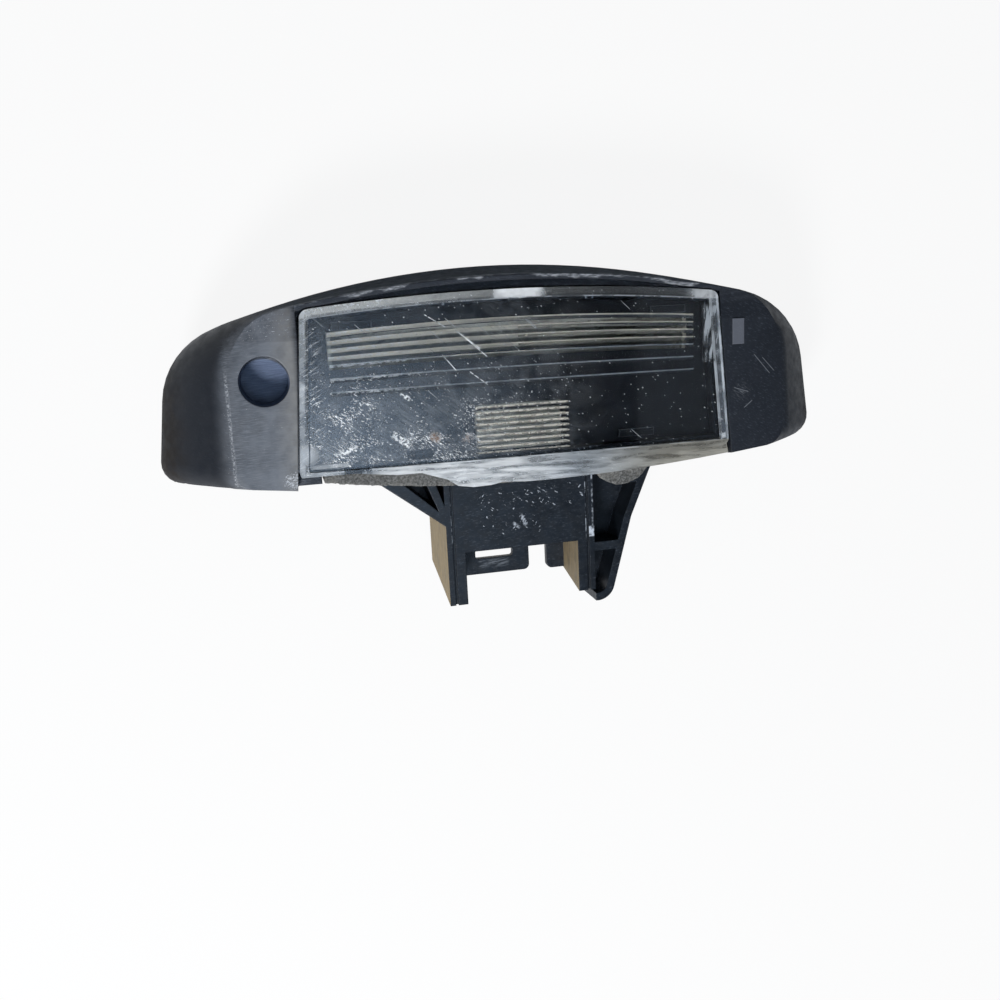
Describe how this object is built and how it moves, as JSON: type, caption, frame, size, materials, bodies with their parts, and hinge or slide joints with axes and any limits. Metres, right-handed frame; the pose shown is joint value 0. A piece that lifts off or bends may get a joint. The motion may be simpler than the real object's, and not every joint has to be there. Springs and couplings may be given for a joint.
{
  "type": "number plate lamp",
  "caption": "Arched black lamp for a van's rear door, with a clear ribbed lens, a plug socket and a spring clip, that lights the number plate below it.",
  "frame": {"origin": "middle of the lens across and up, on the flat back that the lamp lies on", "axes": "+Z out of the lens, +Y towards the arched side, +X along the lamp with the round recess on the -X cheek; the plug socket points to -Y"},
  "size_m": [0.1348, 0.0683, 0.0282],
  "materials": {
    "hood_plastic": "moulded black plastic, worn grey at the edges",
    "base_plastic": "moulded black plastic, slightly glossy",
    "shield_plastic": "matt black",
    "lens_clear": "clear plastic, hazed and scratched",
    "reflector_cream": "cream reflective plastic",
    "foam": "granular grey foam",
    "contact_brass": "stamped strip",
    "bulb_glass": "clear",
    "bulb_wire": "drawn wire"
  },
  "bodies": {
    "root": {"hood": "hood_plastic", "lens": "lens_clear", "light_shield": "shield_plastic", "reflector": "reflector_cream", "lamp_base": "base_plastic", "foam_gasket": "foam", "feed_contact": "contact_brass", "earth_contact": "contact_brass", "left_bulb_glass": "bulb_glass", "left_bulb_wires": "bulb_wire", "left_bulb_filament": "bulb_wire", "right_bulb_glass": "bulb_glass", "right_bulb_wires": "bulb_wire", "right_bulb_filament": "bulb_wire"}
  },
  "joints": []
}
